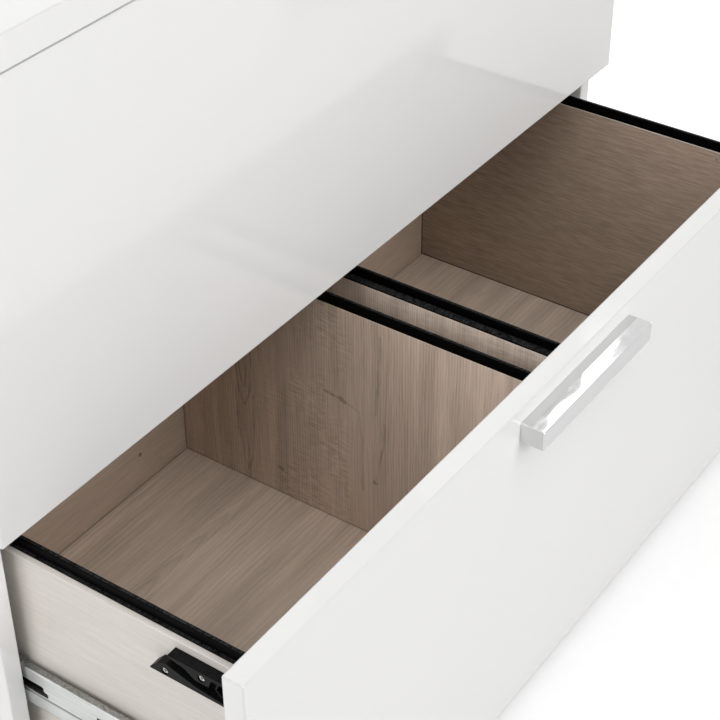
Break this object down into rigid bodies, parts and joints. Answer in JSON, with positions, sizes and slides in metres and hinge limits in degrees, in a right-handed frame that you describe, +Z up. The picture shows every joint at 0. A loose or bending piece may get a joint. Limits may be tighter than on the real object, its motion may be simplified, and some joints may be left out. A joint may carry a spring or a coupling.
{
  "type": "lateral filing cabinet",
  "caption": "Low wide filing cabinet with two stacked full-width drawers on telescopic slides, each drawer box divided for hanging folders, with hollow bar handles.",
  "frame": {"origin": "middle of the floor under the whole object as it stands, with its lower drawer drawn out 220 mm", "axes": "+X along the drawer fronts to the right as seen from the front, +Y towards the back, +Z up; the drawers open towards -Y"},
  "size_m": [0.914, 0.7126, 0.7574],
  "materials": {
    "white_lacquer": "smooth white high-gloss laminate",
    "maple": "satin taupe wood-grain laminate",
    "black": "satin black moulded plastic",
    "zinc": "zinc-plated rolled steel",
    "chrome": "polished chrome",
    "bright_steel": "bright steel screws"
  },
  "bodies": {
    "case": {"top_panel": "white_lacquer", "left_side_panel": "white_lacquer", "right_side_panel": "white_lacquer", "bottom_panel": "white_lacquer", "back_panel": "white_lacquer", "front_left_glide": "black", "front_right_glide": "black", "rear_left_glide": "black", "rear_right_glide": "black", "lower_left_fixed_slide": "zinc", "lower_right_fixed_slide": "zinc", "upper_left_fixed_slide": "zinc", "upper_right_fixed_slide": "zinc"},
    "lower_drawer": {"lower_drawer_front": "white_lacquer", "lower_box_back": "maple", "lower_box_floor": "maple", "lower_handle": "chrome", "lower_interlock_striker": "black", "lower_front_striker_screw": "bright_steel", "lower_rear_striker_screw": "bright_steel", "lower_left_box_side": "maple", "lower_left_divider": "maple", "lower_left_side_rail": "black", "lower_left_divider_rail": "black", "lower_left_handle_screw": "bright_steel", "lower_left_drawer_slide": "zinc", "lower_right_box_side": "maple", "lower_right_divider": "maple", "lower_right_side_rail": "black", "lower_right_divider_rail": "black", "lower_right_handle_screw": "bright_steel", "lower_right_drawer_slide": "zinc"},
    "lower_left_middle_member": {"lower_left_middle_slide": "zinc"},
    "lower_left_lever": {"lower_left_release_lever": "black"},
    "lower_right_middle_member": {"lower_right_middle_slide": "zinc"},
    "lower_right_lever": {"lower_right_release_lever": "black"},
    "upper_drawer": {"upper_drawer_front": "white_lacquer", "upper_box_back": "maple", "upper_box_floor": "maple", "upper_handle": "chrome", "upper_interlock_striker": "black", "upper_front_striker_screw": "bright_steel", "upper_rear_striker_screw": "bright_steel", "upper_left_box_side": "maple", "upper_left_divider": "maple", "upper_left_side_rail": "black", "upper_left_divider_rail": "black", "upper_left_handle_screw": "bright_steel", "upper_left_drawer_slide": "zinc", "upper_right_box_side": "maple", "upper_right_divider": "maple", "upper_right_side_rail": "black", "upper_right_divider_rail": "black", "upper_right_handle_screw": "bright_steel", "upper_right_drawer_slide": "zinc"},
    "upper_left_middle_member": {"upper_left_middle_slide": "zinc"},
    "upper_left_lever": {"upper_left_release_lever": "black"},
    "upper_right_middle_member": {"upper_right_middle_slide": "zinc"},
    "upper_right_lever": {"upper_right_release_lever": "black"}
  },
  "joints": [
    {"name": "lower_drawer_slide", "type": "slide", "parent": "case", "child": "lower_drawer", "axis": [0, -1, 0], "range_m": [-0.22, 0.18]},
    {"name": "lower_left_middle_member_slide", "type": "slide", "parent": "case", "child": "lower_left_middle_member", "axis": [0, -1, 0], "range_m": [-0.11, 0.09]},
    {"name": "lower_left_lever_pivot", "type": "hinge", "parent": "lower_drawer", "child": "lower_left_lever", "pos_m": [-0.4288, -0.0657, 0.204], "axis": [-1, 0, 0], "range_deg": [0, 4], "stiffness_Nm_per_rad": 0.02, "springref_deg": -11.46},
    {"name": "lower_right_middle_member_slide", "type": "slide", "parent": "case", "child": "lower_right_middle_member", "axis": [0, -1, 0], "range_m": [-0.11, 0.09]},
    {"name": "lower_right_lever_pivot", "type": "hinge", "parent": "lower_drawer", "child": "lower_right_lever", "pos_m": [0.4288, -0.0657, 0.204], "axis": [-1, 0, 0], "range_deg": [0, 4], "stiffness_Nm_per_rad": 0.02, "springref_deg": -11.46},
    {"name": "upper_drawer_slide", "type": "slide", "parent": "case", "child": "upper_drawer", "axis": [0, -1, 0], "range_m": [0, 0.4]},
    {"name": "upper_left_middle_member_slide", "type": "slide", "parent": "case", "child": "upper_left_middle_member", "axis": [0, -1, 0], "range_m": [0, 0.2]},
    {"name": "upper_left_lever_pivot", "type": "hinge", "parent": "upper_drawer", "child": "upper_left_lever", "pos_m": [-0.4288, 0.1543, 0.569], "axis": [-1, 0, 0], "range_deg": [0, 4], "stiffness_Nm_per_rad": 0.02, "springref_deg": -11.46},
    {"name": "upper_right_middle_member_slide", "type": "slide", "parent": "case", "child": "upper_right_middle_member", "axis": [0, -1, 0], "range_m": [0, 0.2]},
    {"name": "upper_right_lever_pivot", "type": "hinge", "parent": "upper_drawer", "child": "upper_right_lever", "pos_m": [0.4288, 0.1543, 0.569], "axis": [-1, 0, 0], "range_deg": [0, 4], "stiffness_Nm_per_rad": 0.02, "springref_deg": -11.46}
  ],
  "couplings": [
    {"joint": "lower_left_middle_member_slide", "follows": "lower_drawer_slide", "ratio": 0.5},
    {"joint": "lower_right_middle_member_slide", "follows": "lower_drawer_slide", "ratio": 0.5},
    {"joint": "upper_left_middle_member_slide", "follows": "upper_drawer_slide", "ratio": 0.5},
    {"joint": "upper_right_middle_member_slide", "follows": "upper_drawer_slide", "ratio": 0.5}
  ]
}
